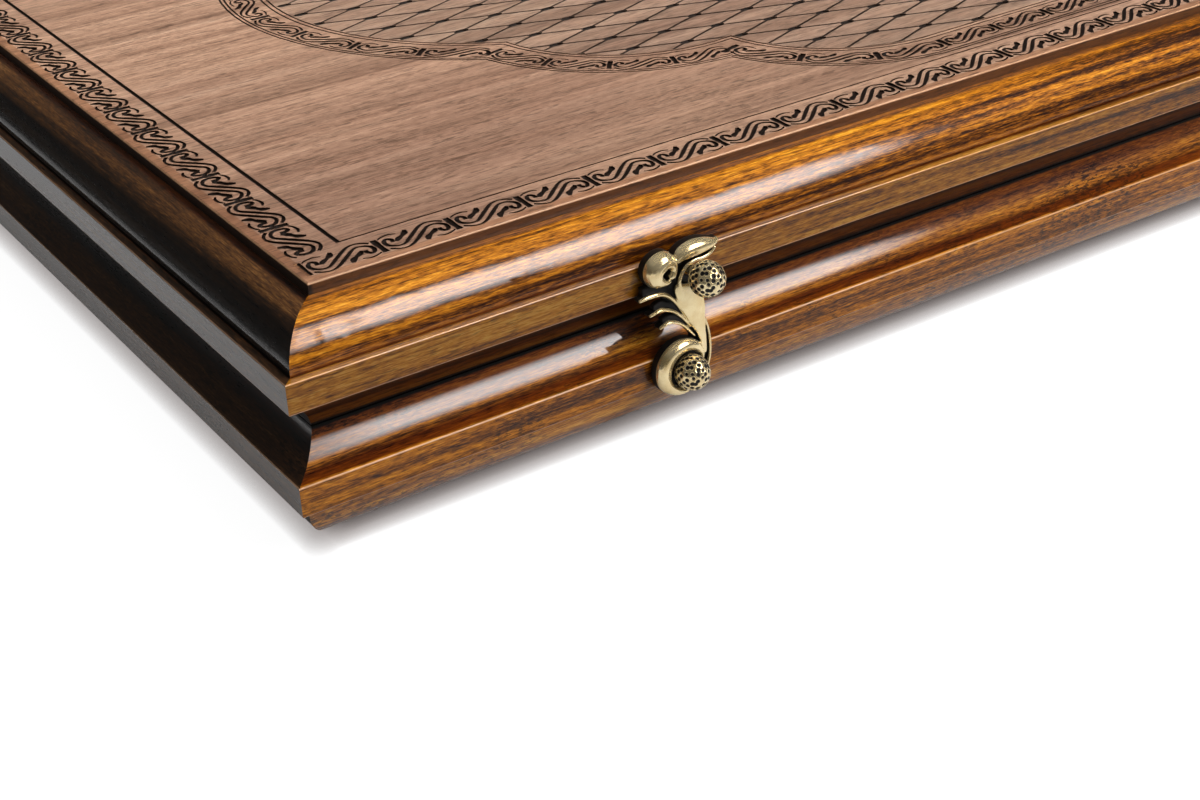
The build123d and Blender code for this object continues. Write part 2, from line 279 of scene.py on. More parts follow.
def moulded(finish, half, front):
    """Painted shade in the mouldings' hollows and creases, painted sheen on the side ovolos and painted
    highlights along the arrises.
    """
    x, y, z = finish.axes(finish.place())
    inward = (side_face - abs(x)).math("MINIMUM", y - front_face)
    outward = abs(z - parting)
    in_cove = below(inward, cove_depth + 0.15, crisp) * below(outward, band_foot - 0.15, crisp)
    band = outward.above(band_foot + 0.05, crisp) * below(outward, band_top - 0.15, crisp)
    band = band * below(inward, 0.35, crisp)
    ledge = below(inward, ledge_width, 2 * crisp) * outward.above(band_top - 0.05, crisp)
    ovolo = inward.above(ledge_width - 0.1, crisp) * below(inward, ovolo_end, 2 * crisp)
    ovolo = ovolo * outward.above(band_top - 0.25, crisp)
    gap = below(inward, cove_depth + 1.0, 0.3) * below(outward, 0.7, 0.3)
    foot_crease_shade = near(inward, ledge_width + 0.1, 0.25) * near(outward, band_top + 0.05, 0.3) * 0.9

    # Painted shade: black in the parting gap, dark in the upper cove under the band and in the crease at the
    # ovolo's foot, and along the upper ovolo's lower part and its top by the panel; the lower cove is darker
    # towards its outer edge and towards its deep end
    if half == "upper":
        edges = below(outward, 15.6, 3.2).math("MAXIMUM", inward.above(9.9, 1.0))
        hollow_shade = in_cove * inward.above(3.4, 4.0) * 0.85
        hollow_shade = hollow_shade.math("MAXIMUM", ovolo * edges * (0.5 if front else 0.9))
    else:
        hollow = below(inward, 3.1, 1.4) * (0.95 if front else 0.3)
        hollow_shade = in_cove * hollow.math("MAXIMUM", inward.above(4.8, 2.4) * 0.85)
    stain_and_shade = finish.scaled(finish.colour, (0.2, 0.08, 0.01))
    colour = finish.blend(finish.colour, stain_and_shade, hollow_shade.math("MAXIMUM", foot_crease_shade))
    colour = finish.scaled(colour, (1 - gap) * (1 - in_cove * (0.5 if half == "upper" else 0.0)))
    if front:
        # Painted shade on the front's bands and ledges, greyer and darker on the upper band
        shaded_band = finish.scaled(colour, band_shade[half])
        colour = finish.blend(colour, shaded_band, band.math("MAXIMUM", ledge))
    elif half == "upper":
        # A painted sheen on the side's upper ovolo, painted shade below it, and a painted lighter ledge
        sheen_and_shade = finish.scaled(colour, 0.12 + outward.above(21.4, 1.8) * 2.6)
        colour = finish.blend(finish.scaled(colour, 1 + ledge * 1.2), sheen_and_shade, ovolo)

    # Painted highlights: pale lines along the arrises; and less lacquer where no brush reaches
    arris_glint_mask = near(outward, band_foot + 0.05, 0.12).math("MAXIMUM", near(outward, band_top - 0.05, 0.12))
    arris_glint = near(inward, 0.0, 0.12) * arris_glint_mask * arris_glint_strength[half][0 if front else 1]
    dull = gap.math("MAXIMUM", foot_crease_shade).math("MAXIMUM", in_cove * (0.95 if half == "upper" else 0.0))
    coat = 1 - dull.math("MAXIMUM", band * (0.5 if front else 0.0))
    finish.feed(Base_Color=finish.blend(colour, rgb(226, 180, 140), arris_glint), Coat_Weight=coat)


rail_tones = [rgb(40, 16, 1), rgb(100, 54, 5), rgb(164, 98, 14), rgb(204, 132, 24), rgb(230, 168, 54)]
# Darker copies of the rail tones for the side rails: painted shade, for the ends that face away from the
# light
shaded_side_tones = [rgb(8, 5, 3), rgb(24, 14, 7), rgb(40, 24, 11), rgb(56, 35, 16), rgb(76, 52, 28)]
lacquer = {"Coat_Weight": 1.0, "Coat_Roughness": 0.05, "Coat_IOR": 1.5, "Specular_IOR_Level": 0.12}
rail_seeds = {"lower": 1.0, "upper": 4.3}
rail_grain = {"front": "x", "back": "x", "left": "y", "right": "y"}
for half, half_seed in rail_seeds.items():
    for number, (side, along) in enumerate(rail_grain.items()):
        stain_and_shade = wood(
            f"{half}_{side}_stained_beech",
            along,
            shaded_side_tones if along == "y" else rail_tones,
            seed=half_seed + number,
            flecks=0.75 if half == "lower" else 0.15,
            figure=1.0 if half == "upper" else 0.75,
            fibre=0.7,
            **lacquer,
        )
        if side != "back":
            moulded(stain_and_shade, half, side == "front")
        nodes[f"{half}_{side}_rail"].data.materials[0] = stain_and_shade.material


# Corner joinery
# Pressed beech biscuits in the mitres and turned beech dowels in the back corners, left bare
# because the glue hides them.
bare_tones = [rgb(176, 134, 92), rgb(198, 158, 114), rgb(214, 178, 136)]
bare_beech = wood("bare_beech", "x", bare_tones, seed=2.2, flecks=0.4)
for half in rail_seeds:
    for joint in ("mitre_biscuits", "back_dowels"):
        nodes[f"{half}_{joint}"].data.materials[0] = bare_beech.material


# Engraved panels
# Satin stained veneer panels. A laser has burnt a scroll border and a fine line into both, and a
# scalloped cartouche with a quilted lattice into the lid's, and left the cuts black brown.
cut_depth = 0.4
line_depth = 0.18
edge_radius = 0.4
fine_width = 0.5
border_line_width = (0.95, 0.5)
border_line_inset = 11.9
scroll_inset = 5.7
scroll_pitch = 15.5
scroll_end_gap = 0.6
scroll_steps = 3
side_boldness = 1.14

# Half of one scroll, about its own middle: across, up, and the cut's width at each point. The
# other half is the same turned half a turn.
scroll_height = 7.4
ribbon_cut = (
    (-4.9, -0.1, 0.8), (-4.75, 1.05, 1.0), (-5.45, 1.8, 0.85), (-6.2, 1.2, 0.9), (-6.5, 0.0, 0.95),
    (-6.1, -1.2, 0.9), (-4.8, -2.05, 0.7), (-3.4, -1.95, 0.75), (-2.0, -0.75, 0.9), (-0.4, 0.75, 0.95),
    (1.3, 2.3, 0.85), (2.7, 3.3, 0.75), (4.1, 3.65, 0.6), (5.5, 3.2, 0.7), (6.7, 2.2, 0.7),
)
rim_cut = ((-6.9, 2.4, 0.4), (-5.85, 3.1, 0.55), (-4.2, 3.35, 0.6), (-2.9, 2.8, 0.35))
leaf_cut = ((-4.2, -0.3, 0.7), (-3.4, 0.7, 1.35), (-2.3, 1.4, 0.95), (-1.4, 2.1, 1.4), (-0.8, 3.4, 0.7))
joint_cut = ((-7.7, 3.0, 1.2), (-7.78, 1.2, 1.45), (-7.78, -1.2, 1.1), (-7.8, -3.1, 1.35))

# The cartouche is made of lobes: circles about these centres, in the board's left front quarter
lobe_circles = (((-162.6, 0.0), 73.8), ((-158.5, -48.2), 47.6), ((-119.0, -79.5), 45.0))
lobe_points = 14
flat_end = lobe_circles[2][0][0]
cartouche_flat = -124.0
cartouche_band = 11.4
cartouche_scroll_middle = 4.9
cartouche_scroll_height = 6.0
cartouche_scroll_pitch = 15.6
cartouche_scroll_steps = 2
cartouche_lines = (0.0, 1.0, cartouche_band - 2.0, cartouche_band - fine_width - 0.2)

# The lattice's lines stop short of the burnt dots where they cross
lattice_reach = (235.0, 125.0)
lattice_step = (12.05, 4.5)
lattice_dot = (2.1, 1.1)
lattice_width = 0.7
lattice_gap = 1.4


def smooth_path(points, steps):
    """Points along a smooth curve that passes through the given ones."""
    given = np.array(points, float)
    ends = np.vstack([2 * given[0] - given[1], given, 2 * given[-1] - given[-2]])
    path = []
    for first in range(len(given) - 1):
        a, b, c, d = ends[first : first + 4]
        for t in np.arange(steps) / steps:
            path.append(
                b + 0.5 * t * (c - a + t * (2 * a - 5 * b + 4 * c - d + t * (3 * (b - c) + d - a)))
            )
    return np.array(path + [given[-1]])


def cut_outline(points, steps, boldness):
    """Outline of a cut from points that give its place and its width."""
    path = smooth_path(points, steps)
    heading = np.gradient(path[:, :2], axis=0)
    heading /= np.linalg.norm(heading, axis=1)[:, None]
    aside = np.column_stack([-heading[:, 1], heading[:, 0]]) * path[:, 2:] * boldness / 2
    return np.vstack([path[:, :2] - aside, (path[:, :2] + aside)[::-1]])


def scroll_outlines(steps, boldness=1.0):
    """Outlines of the cuts of one scroll about its own middle."""
    outlines = [cut_outline(joint_cut, 1, boldness)]
    for points in (ribbon_cut, rim_cut, leaf_cut):
        outline = cut_outline(points, steps, boldness)
        outlines += [outline, -outline]
    return outlines


def place_scrolls(start, stop, pitch, height, steps, boldness=1.0):
    """Scrolls side by side along a straight run."""
    start, stop = np.array(start, float), np.array(stop, float)
    run = np.linalg.norm(stop - start)
    count = round(run / pitch)
    heading = (stop - start) / run
    across = np.array([-heading[1], heading[0]])
    stretch = run / count / scroll_pitch
    placed = []
    for number in range(count):
        middle = start + heading * run * (number + 0.5) / count
        for outline in scroll_outlines(steps, boldness):
            along = outline[:, :1] * stretch * heading
            placed.append(middle + along + outline[:, 1:] * (height / scroll_height) * across)
    return placed


def bend_scrolls(centre, radius, first_angle, last_angle, pitch, height, steps):
    """Scrolls side by side round an arc, between two angles."""
    count = max(1, round(radius * abs(last_angle - first_angle) / pitch))
    step = (last_angle - first_angle) / count
    placed = []
    for number in range(count):
        for outline in scroll_outlines(steps):
            angle = first_angle + step * (number + 0.5 + outline[:, 0] / scroll_pitch)
            distance = radius + outline[:, 1] * (height / scroll_height) * -np.sign(step)
            turned = np.column_stack([np.cos(angle), np.sin(angle)]) * distance[:, None]
            placed.append(np.array(centre) + turned)
    return placed


def circles_meet(first, second):
    """The point where two lobes' circles cross, on the outer side."""
    (ax, ay), a_radius = first
    (bx, by), b_radius = second
    gap = math.hypot(bx - ax, by - ay)
    along = (gap**2 + a_radius**2 - b_radius**2) / (2 * gap)
    aside = math.sqrt(a_radius**2 - along**2)
    middle = (ax + (bx - ax) * along / gap, ay + (by - ay) * along / gap)
    options = [
        (middle[0] + turn * aside * (by - ay) / gap, middle[1] - turn * aside * (bx - ax) / gap)
        for turn in (-1, 1)
    ]
    return min(options, key=lambda option: option[0] + option[1])


def lobe_arcs(inset):
    """Centre, radius, first and last angle of each lobe of a quarter cartouche, from its left end."""
    circles = [(centre, radius - inset) for centre, radius in lobe_circles]
    corners = [(lobe_circles[0][0][0] - circles[0][1], 0.0)]
    corners += [circles_meet(circles[step], circles[step + 1]) for step in range(2)]
    corners += [(flat_end, cartouche_flat + inset)]
    arcs = []
    for step, (centre, radius) in enumerate(circles):
        angles = [
            math.atan2(y - centre[1], x - centre[0]) % (2 * math.pi)
            for x, y in (corners[step], corners[step + 1])
        ]
        arcs.append((centre, radius, angles[0], angles[1]))
    return arcs


def mirrored(outline, x_sign, y_sign):
    """A quarter's outline in another quarter, kept anticlockwise."""
    flipped = outline * (x_sign, y_sign)
    return flipped if x_sign * y_sign > 0 else flipped[::-1]


def cartouche_loop(inset):
    """The whole cartouche's outline at a distance in from its outer line."""
    quarter = []
    for centre, radius, first, last in lobe_arcs(inset):
        angles = np.linspace(first, last, lobe_points)
        quarter.append(np.array(centre) + radius * np.column_stack([np.cos(angles), np.sin(angles)]))
    quarter = np.vstack(quarter)
    half = np.vstack([quarter, (quarter * (-1, 1))[::-1]])
    loop = np.vstack([half, (half * (1, -1))[::-1]])
    keep = np.linalg.norm(loop - np.roll(loop, 1, axis=0), axis=1) > 0.01
    return loop[keep]


def ring_quads(outer, inner):
    """The strip between two loops with the same number of points, as quads."""
    count = len(outer)
    return [
        np.array([outer[step], outer[(step + 1) % count], inner[(step + 1) % count], inner[step]])
        for step in range(count)
    ]


def border_cuts(half_length, half_depth):
    """Scrolls along the four edges, and the line inside them."""
    reach_x = half_length - scroll_inset
    reach_y = half_depth - scroll_inset
    corner = scroll_height / 2
    cuts = []
    corners = [(-reach_x, -reach_y), (reach_x, -reach_y), (reach_x, reach_y), (-reach_x, reach_y)]
    for step, start in enumerate(corners):
        stop = np.array(corners[(step + 1) % 4])
        heading = (stop - start) / np.linalg.norm(stop - start)
        first = np.array(start) - heading * corner
        last = stop - heading * (corner + scroll_end_gap)
        boldness = side_boldness if step % 2 else 1.0
        cuts += place_scrolls(first, last, scroll_pitch, scroll_height, scroll_steps, boldness)
    loops = []
    for width_x, width_y in ((0.0, 0.0), border_line_width):
        x = half_length - border_line_inset - width_x
        y = half_depth - border_line_inset - width_y
        loops.append(np.array([(-x, -y), (x, -y), (x, y), (-x, y)]))
    return cuts, ring_quads(*loops)


def cartouche_cuts():
    """The cartouche: two double lines, and scrolls between them."""
    lines = []
    for inset in cartouche_lines:
        lines += ring_quads(cartouche_loop(inset), cartouche_loop(inset + fine_width))
    cuts = []
    shape = (cartouche_scroll_pitch, cartouche_scroll_height, cartouche_scroll_steps)
    for centre, radius, first, last in lobe_arcs(cartouche_scroll_middle):
        for outline in bend_scrolls(centre, radius, first, last, *shape):
            cuts += [mirrored(outline, x_sign, y_sign) for x_sign in (1, -1) for y_sign in (1, -1)]
    flat = cartouche_flat + cartouche_scroll_middle
    for outline in place_scrolls((flat_end, flat), (-flat_end, flat), *shape):
        cuts += [outline, mirrored(outline, 1, -1)]
    return cuts, lines


def lattice_room(x, y):
    """How far in from the lattice's outline a point lies; below 0 outside it."""
    room = min(-cartouche_flat - cartouche_band - abs(y), -flat_end - abs(x))
    for (centre_x, centre_y), radius in lobe_circles:
        gap = math.hypot(abs(x) + centre_x, abs(y) + centre_y)
        room = max(room, radius - cartouche_band - gap)
    return room


def lattice_cuts():
    """Fine crossing lines, and a burnt dot where they cross, as far as the lattice reaches."""
    step_x, step_y = lattice_step
    columns, rows = (int(reach / step) for reach, step in zip(lattice_reach, lattice_step))
    slope = math.hypot(step_x, step_y)
    lines = []
    dots = []
    dot_angles = np.linspace(0, 2 * np.pi, 7)[:-1]
    dot = np.column_stack([np.cos(dot_angles), np.sin(dot_angles)]) * lattice_dot
    for column in range(-columns, columns + 1):
        for row in range(-rows, rows + 1):
            if (column + row) % 2:
                continue
            node = np.array([(column + 0.5) * step_x, row * step_y])
            if lattice_room(*node) > -lattice_dot[0]:
                dots.append(node + dot)
            for rise in (-1, 1):
                heading = np.array([step_x, rise * step_y]) / slope
                across = np.array([-heading[1], heading[0]]) * lattice_width / 2
                if lattice_room(*(node + heading * slope / 2)) < -slope / 2 - lattice_width:
                    continue
                start, stop = node + heading * lattice_gap, node + heading * (slope - lattice_gap)
                lines.append(np.array([start - across, stop - across, stop + across, start + across]))
    return dots, lines


def anticlockwise(outline):
    """The outline with its inside on the left."""
    x, y = outline[:, 0], outline[:, 1]
    area = np.sum(x * np.roll(y, -1) - np.roll(x, -1) * y)
    return outline if area > 0 else outline[::-1]


def engraved_face(flat_x, flat_y, half_length, half_depth, with_cartouche):
    """The flat face cut into triangles along every outline, and each triangle's depth."""
    face = np.array([(-flat_x, -flat_y), (flat_x, -flat_y), (flat_x, flat_y), (-flat_x, flat_y)])
    deep, fine = border_cuts(half_length, half_depth)
    outlines = [(face, 0.0)]
    cartouche = 1
    lattice = range(0)
    if with_cartouche:
        more_deep, more_fine = cartouche_cuts()
        deep += more_deep
        fine += more_fine
        dots, lines = lattice_cuts()
        outlines.append((cartouche_loop(cartouche_band), 0.0))
        outlines += [(outline, cut_depth) for outline in dots]
        outlines += [(outline, line_depth) for outline in lines]
        lattice = range(cartouche + 1, len(outlines))
    outlines += [(outline, cut_depth) for outline in deep + fine]
    points = []
    faces = []
    for outline, _ in outlines:
        faces.append(list(range(len(points), len(points) + len(outline))))
        points += [Vector(point) for point in anticlockwise(outline)]
    flat_points, _, triangles, _, _, sources = delaunay_2d_cdt(points, [], faces, 1, 1e-4)

    # A lattice cut counts only inside the cartouche's inner outline
    depths = []
    for source in sources:
        counted = [n for n in source if n not in lattice or cartouche in source]
        depths.append(max((outlines[n][1] for n in counted), default=0.0))
    return flat_points, triangles, depths


def engraved_panel(name, node, out, with_cartouche):
    """Panel with its cuts sunk in the face that looks out: up for the lid, down for the base."""
    low, high = node_box(node)
    half_length = (high.x - low.x) / 2
    half_depth = (high.y - low.y) / 2
    flat_x, flat_y = half_length - edge_radius, half_depth - edge_radius
    flat_points, triangles, depths = engraved_face(
        flat_x, flat_y, half_length, half_depth, with_cartouche
    )
    level = high.z if out > 0 else low.z
    inner = low.z if out > 0 else high.z
    vertices = []
    numbers = {}

    def vertex(point, depth):
        if (point, depth) not in numbers:
            numbers[point, depth] = len(vertices)
            x, y = flat_points[point]
            vertices.append((x, y, level - out * depth))
        return numbers[point, depth]

    # The face at its depths, and upright walls where the depth changes
    polygons = []
    edges = {}
    for triangle, depth in zip(triangles, depths):
        corners = [vertex(point, depth) for point in triangle]
        polygons.append(corners if out > 0 else corners[::-1])
        for step in range(3):
            edges[triangle[step], triangle[(step + 1) % 3]] = depth
    rim = []
    for (start, stop), depth in edges.items():
        across = edges.get((stop, start))
        if across is None:
            rim.append((vertex(start, depth), vertex(stop, depth)))
        elif depth < across:
            wall = [vertex(stop, depth), vertex(start, depth), vertex(start, across), vertex(stop, across)]
            polygons.append(wall if out > 0 else wall[::-1])

    # Rounded edge and sides, from the flat face's rim down to the inner face
    ring = {start: stop for start, stop in rim}
    first = rim[0][0]
    loop = [first]
    while ring[loop[-1]] != first:
        loop.append(ring[loop[-1]])
    turns = np.linspace(0, math.pi / 2, 5)[1:]
    rows = [
        (edge_radius * math.sin(turn), level - out * edge_radius * (1 - math.cos(turn))) for turn in turns
    ]
    rows.append((edge_radius, inner))
    previous = loop
    for grow, z in rows:
        current = []
        for number in loop:
            x, y, _ = vertices[number]
            corner_x = x + math.copysign(grow, x) if abs(abs(x) - flat_x) < 0.001 else x
            corner_y = y + math.copysign(grow, y) if abs(abs(y) - flat_y) < 0.001 else y
            current.append(len(vertices))
            vertices.append((corner_x, corner_y, z))
        for step in range(len(loop)):
            after = (step + 1) % len(loop)
            quad = [previous[step], current[step], current[after], previous[after]]
            polygons.append(quad if out > 0 else quad[::-1])
        previous = current
    polygons.append(previous[::-1] if out > 0 else previous)

    mesh = bpy.data.meshes.new(name)
    centre = Vector(((low.x + high.x) / 2, (low.y + high.y) / 2, 0))
    mesh.from_pydata([(Vector(v) + centre) * millimetre for v in vertices], [], polygons)
    mesh.validate()
    return add_object(name, mesh)


def on_lattice(x, y):
    """1 inside the cartouche's band, 0 outside it."""
    across, up = abs(x), abs(y)
    room = (-cartouche_flat - cartouche_band - up).math("MINIMUM", -flat_end - across)
    for (centre_x, centre_y), radius in lobe_circles:
        gap = ((across + centre_x) * (across + centre_x) + (up + centre_y) * (up + centre_y)).math("SQRT")
        room = room.math("MAXIMUM", radius - cartouche_band - gap)
    return room.above(0.0, 0.2)


def cushions(x, y):
    """Height of the lattice's diamonds: 0 on the crossing lines, 1 in the middle."""
    step_x, step_y = lattice_step
    across = x / (2 * step_x) - 0.25
    up = y / (2 * step_y)
    return (across + up).math("PINGPONG", 0.5).math("MINIMUM", (across - up).math("PINGPONG", 0.5)) * 2


# The cuts lie inside a plain rim, and painted shade makes the panel's two end edges darkest
rim_width = 2.2
end_edge_shade = 0.8


def panel_wood(name, node, out):
    """Satin panel wood, burnt black brown where the surface lies below its face."""
    low, high = node_box(node)
    face_level = high.z if out > 0 else low.z
    seed = 5.1 + out
    tones = [rgb(98, 68, 52), rgb(140, 103, 79), rgb(172, 131, 103), rgb(194, 152, 121), rgb(214, 176, 144)]
    satin = {"Coat_Weight": 0.5, "Coat_Roughness": 0.38, "Coat_IOR": 1.45, "Specular_IOR_Level": 0.3}
    finish = wood(name, "x", tones, seed=seed, figure=0.42, flecks=0.2, fibre=0.5, streaks=0.2, **satin)
    x, y, z = finish.axes(finish.place())
    depth = (face_level - z) * out
    inside_x = (high.x - rim_width - abs(x)).above(0.0, crisp)
    inside_y = (high.y - rim_width - abs(y)).above(0.0, crisp)
    inside = inside_x * inside_y
    rim = 1 - inside

    # Stain taken up unevenly, and a painted sheen that makes the panel a little paler towards the back
    clouds = finish.noise(stretched(finish, "x", length=3.0, seed=seed), scale=20.0, detail=3.0)
    pale = finish.scaled(finish.colour, (1.16, 1.25, 1.36))
    deep = finish.scaled(finish.colour, (0.94, 0.98, 1.08))
    stain_and_shade = finish.blend(pale, deep, clouds.above(0.5, 0.26))
    stain_and_shade = finish.scaled(stain_and_shade, 0.86 + y.above(-60.0, 150.0) * 0.26)
    if out > 0:
        quilted = on_lattice(x, y) * (1.0 - cushions(x, y) * 0.55)
        stain_and_shade = finish.blend(stain_and_shade, finish.scaled(stain_and_shade, (0.84, 0.92, 0.98)), quilted)

    # The plain rim, its brown side faces with painted shade darkest at the two ends, and a painted highlight
    # along the arris between them
    stain_and_shade = finish.blend(stain_and_shade, finish.scaled(stain_and_shade, (0.8, 0.66, 0.54)), rim)
    brown = finish.scaled(finish.colour, (0.2, 0.12, 0.045))
    brown = finish.scaled(brown, 1 - abs(x).above(high.x - end_edge_shade, 0.6) * 0.9)
    stain_and_shade = finish.blend(stain_and_shade, brown, depth.above(edge_radius, 0.2) * rim)
    arris_glint_mask = near(depth, 0.22, 0.08) * rim
    stain_and_shade = finish.blend(stain_and_shade, rgb(226, 180, 132), arris_glint_mask * 0.5)

    # Char in the cuts
    soot = finish.noise(finish.place(), scale=900.0)
    char = finish.blend(rgb(30, 18, 10), rgb(7, 5, 4), soot)
    finish.feed(Base_Color=finish.blend(stain_and_shade, char, depth.above(0.07, crisp) * inside))
    return finish.material


for half, out, piece_name in (("upper", 1, "engraved_lid_panel"), ("lower", -1, "engraved_base_panel")):
    node = f"{half}_panel"
    panel = engraved_panel(piece_name, node, out, with_cartouche=half == "upper")
    panel.data.materials.append(panel_wood(f"{piece_name}_wood", node, out))
    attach(panel, f"{half}_half")
    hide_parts(node)


# Playing fields and points
# Veneered fields under the trays' open side, with long pale maple and dark walnut points inlaid
# flush, all under a thin satin lacquer.
satin_lacquer = {"Coat_Weight": 0.35, "Coat_Roughness": 0.3, "Coat_IOR": 1.5, "Specular_IOR_Level": 0.2}
field_tones = [rgb(122, 78, 42), rgb(150, 100, 58), rgb(172, 122, 74), rgb(188, 140, 92)]
maple_tones = [rgb(196, 160, 112), rgb(214, 182, 136), rgb(228, 200, 158)]
walnut_tones = [rgb(36, 22, 14), rgb(58, 36, 22), rgb(80, 52, 32), rgb(98, 66, 42)]
veneers = {
    "field": (field_tones, 0.3),
    "light_points": (maple_tones, 0.2),
    "dark_points": (walnut_tones, 0.2),
}
for half, half_seed in rail_seeds.items():
    for number, (part, (tones, flecks)) in enumerate(veneers.items()):
        seed = half_seed + 0.4 + number
        veneer = wood(f"{half}_{part}_veneer", "x", tones, seed, flecks=flecks, **satin_lacquer)
        nodes[f"{half}_{part}"].data.materials[0] = veneer.material


# Hinges
# Two solid brass butt hinges, brushed along their length, with rolled knuckles on a brass pin, and
# countersunk brass screws.
def brushed_brass(name, along):
    """Satin brass with brushing lines along an axis, a little tarnish and worn lines."""
    finish = Finish(name, Metallic=0.8)
    lines = finish.noise(stretched(finish, along, length=30.0, seed=1.7), scale=4000.0)
    tarnish = finish.noise(finish.place(), scale=130.0, detail=4.0, roughness=0.6)
    colour = finish.blend(rgb(226, 192, 118), rgb(176, 138, 74), tarnish.above(0.55, 0.4))
    finish.feed(
        Base_Color=colour,
        Roughness=0.24 + lines * 0.12 + tarnish * 0.12,
        Normal=finish.bump(lines, 0.01),
    )
    return finish.material


hinge_brass = brushed_brass("brushed_hinge_brass", "x")
screw_brass = brushed_brass("turned_screw_brass", "y")
for end in ("left", "right"):
    for part in ("lower_leaf", "upper_leaf", "pin"):
        nodes[f"{end}_hinge_{part}"].data.materials[0] = hinge_brass
for half in rail_seeds:
    nodes[f"{half}_hinge_screws"].data.materials[0] = screw_brass


# Latch hooks
# Each hook is one antique brass casting: a thick crescent round the pivot ball, a flat stem, three
# feathers, a curled volute and a leaf over the cup that catches the upper ball's shank.
hook_back = node_box("left_latch_hook")[1].y
pivot_low, pivot_high = node_box("left_latch_pivot_stud")
pivot_x = (pivot_low.x + pivot_high.x) / 2
pivot_z = (pivot_low.z + pivot_high.z) / 2
ball_radius = (pivot_high.z - pivot_low.z) / 2
latch_spacing = -2 * pivot_x
hook_voxel = 0.15

# Each blade of the casting: across and up from the pivot, half width; then shoulder and crown height
stem = ((4.5, 2.4, 0.3), (4.1, 5.2, 0.7), (3.5, 7.8, 1.1), (2.7, 10.6, 1.95), (2.0, 13.3, 2.55),
        (0.9, 15.8, 2.7), (-1.2, 18.0, 1.5), (-1.9, 19.4, 0.5))
stem_edge = ((4.7, 9.9, 0.22), (5.3, 7.7, 0.28), (5.7, 5.4, 0.3), (5.8, 3.0, 0.3), (5.6, 0.9, 0.3),
             (5.0, -1.2, 0.25))
neck = ((-1.8, 16.8, 1.2), (-2.5, 19.8, 1.3), (-2.5, 22.4, 1.3), (-2.2, 25.2, 1.3))
cup_lip = ((7.3, 25.0, 0.25), (6.1, 24.0, 0.38), (4.2, 23.45, 0.42), (2.2, 23.45, 0.42), (0.2, 22.7, 0.4),
           (-1.1, 21.0, 0.38), (-1.5, 19.2, 0.38), (-0.7, 17.8, 0.4), (1.0, 16.6, 0.45), (3.0, 15.6, 0.4))
cup_floor = ((3.4, 17.6, 1.0), (1.6, 18.6, 1.2), (0.0, 19.6, 1.1), (-0.6, 21.2, 0.85), (0.0, 22.6, 0.7),
             (1.6, 23.3, 0.5))
leaf = ((-2.2, 24.6, 1.0), (-0.8, 25.5, 1.5), (1.3, 25.95, 1.8), (3.8, 26.0, 1.65), (5.9, 25.9, 1.2),
        (7.2, 26.0, 0.7), (8.1, 26.4, 0.25))
volute = ((-3.5, 20.6, 0.4), (-5.2, 20.8, 0.9), (-7.1, 22.1, 1.9), (-7.2, 24.2, 2.35), (-5.3, 25.3, 2.15),
          (-3.5, 24.6, 1.5), (-2.8, 23.1, 0.95), (-3.3, 21.9, 1.0), (-4.1, 21.6, 0.7))
ridges = (
    ((-10.8, 18.2, 0.35), (-8.6, 18.5, 0.5), (-5.9, 18.3, 0.5), (-4.0, 17.4, 0.45), (-2.2, 15.5, 0.4),
     (-0.8, 13.2, 0.33), (0.6, 11.0, 0.25)),
    ((-8.5, 14.3, 0.3), (-6.0, 14.8, 0.42), (-4.1, 14.4, 0.42), (-2.2, 13.2, 0.38), (-0.4, 11.3, 0.32),
     (1.2, 9.1, 0.25)),
    ((-6.2, 10.9, 0.28), (-4.4, 11.5, 0.4), (-2.7, 11.3, 0.4), (-0.9, 10.2, 0.36), (0.7, 8.6, 0.3),
     (2.2, 6.7, 0.25)),
)
feathers = (
    ((-9.7, 19.5, 0.9), (-7.6, 19.6, 1.1), (-5.3, 19.0, 1.0), (-3.2, 17.6, 0.8), (-1.0, 14.8, 0.6)),
    ((-7.2, 15.3, 0.6), (-5.2, 15.6, 0.9), (-3.2, 15.0, 0.9), (-1.2, 13.2, 0.7), (0.6, 10.8, 0.5)),
    ((-5.2, 12.0, 0.5), (-3.4, 12.2, 0.8), (-1.6, 11.6, 0.8), (0.2, 10.0, 0.7), (2.0, 7.6, 0.5)),
)
web = ((3.6, 5.2, 0.9), (2.0, 9.0, 1.4), (-0.2, 12.8, 2.0), (-2.2, 16.4, 2.2), (-3.6, 19.6, 1.8))
crescent_angles = (15, 40, 70, 100, 130, 160, 195, 230, 265, 300, 330)
crescent_widths = (0.3, 0.75, 1.25, 1.6, 1.8, 1.8, 1.6, 1.15, 0.75, 0.5, 0.3)
ball_room = 0.18
seat_radius = 2.75
seat_half_width = 1.4


def round_pivot(angle, distance, half_width):
    """A point of a blade that runs round the pivot ball."""
    turn = math.radians(angle)
    return distance * math.cos(turn), distance * math.sin(turn), half_width


crescent = [
    round_pivot(angle, ball_radius + ball_room + half_width, half_width)
    for angle, half_width in zip(crescent_angles, crescent_widths)
]
seat = [round_pivot(angle, seat_radius, seat_half_width) for angle in range(0, 361, 30)]
blades = [
    (stem, 2.35, 0.4),
    (stem_edge, 2.0, 0.4),
    (neck, 1.2, 0.2),
    (cup_lip, 2.2, 0.5),
    (cup_floor, 1.0, 0.1),
    (leaf, 1.7, 1.9),
    (volute, 1.4, 2.9),
    (web, 0.9, 0.1),
    (crescent, 1.6, 1.9),
    (seat, 0.6, 0.1),
]
blades += [(feather, 0.9, 0.8) for feather in feathers]
blades += [(ridge, 1.7, 0.6) for ridge in ridges]


